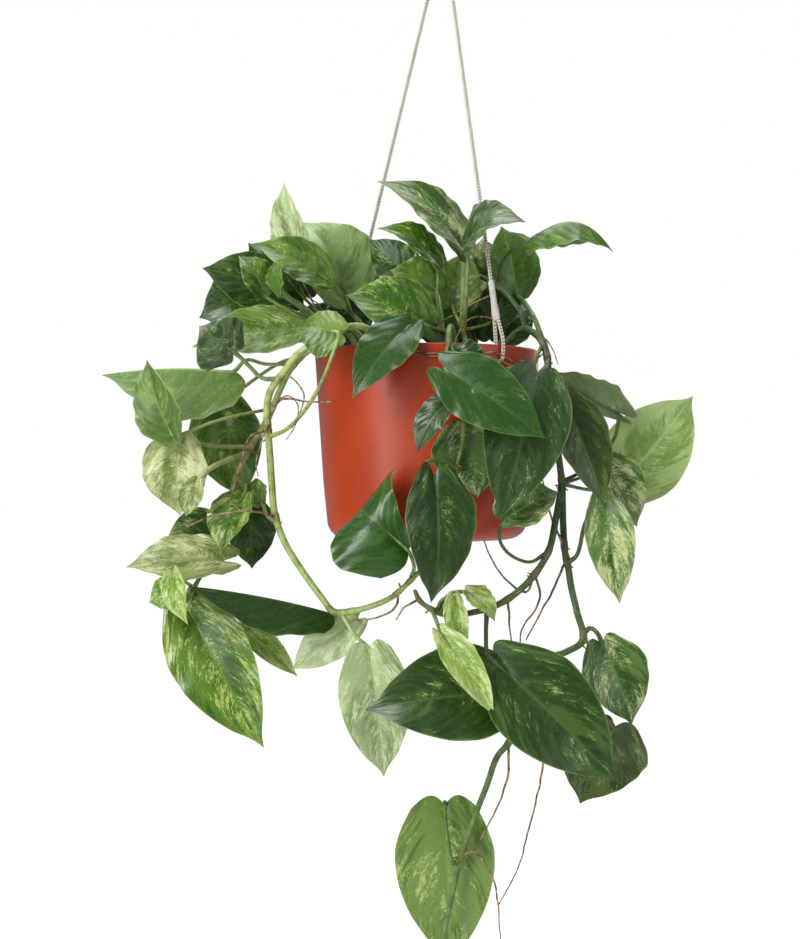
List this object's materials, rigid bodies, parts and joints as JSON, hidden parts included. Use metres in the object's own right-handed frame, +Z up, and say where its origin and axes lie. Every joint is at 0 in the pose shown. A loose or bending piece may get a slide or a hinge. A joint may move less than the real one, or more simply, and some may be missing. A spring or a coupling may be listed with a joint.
{
  "type": "potted marble queen pothos",
  "caption": "Trailing variegated pothos in a round tapered plastic hanging pot, hung from a forked braided rope.",
  "frame": {"origin": "top of the hanging loop, where a hook carries the pot; everything hangs below it", "axes": "+Z straight up along the hanging line, -Y towards the front from which the plant is seen, +X to its right"},
  "size_m": [0.4061, 0.2571, 0.7616],
  "materials": {
    "pot": "satin moulded plastic, terracotta orange",
    "potting_mix": "loose moist bark and peat mix",
    "foliage": "glossy leaves marbled in cream and pale green",
    "rope": "braided natural cord"
  },
  "bodies": {
    "root": {"pot": "pot", "potting_mix": "potting_mix", "vine_left_garland": "foliage", "vine_left_bunch": "foliage", "vine_crown_left": "foliage", "vine_crown_left_rear": "foliage", "vine_crown_middle": "foliage", "vine_crown_right": "foliage", "vine_right_trail": "foliage", "vine_front": "foliage", "vine_back_1": "foliage", "vine_back_2": "foliage", "rope_leg_left": "rope", "rope_whipping_left": "rope", "rope_eye_left": "rope", "rope_leg_right": "rope", "rope_whipping_right": "rope", "rope_eye_right": "rope", "top_knot": "rope", "hanging_loop": "rope"}
  },
  "joints": []
}
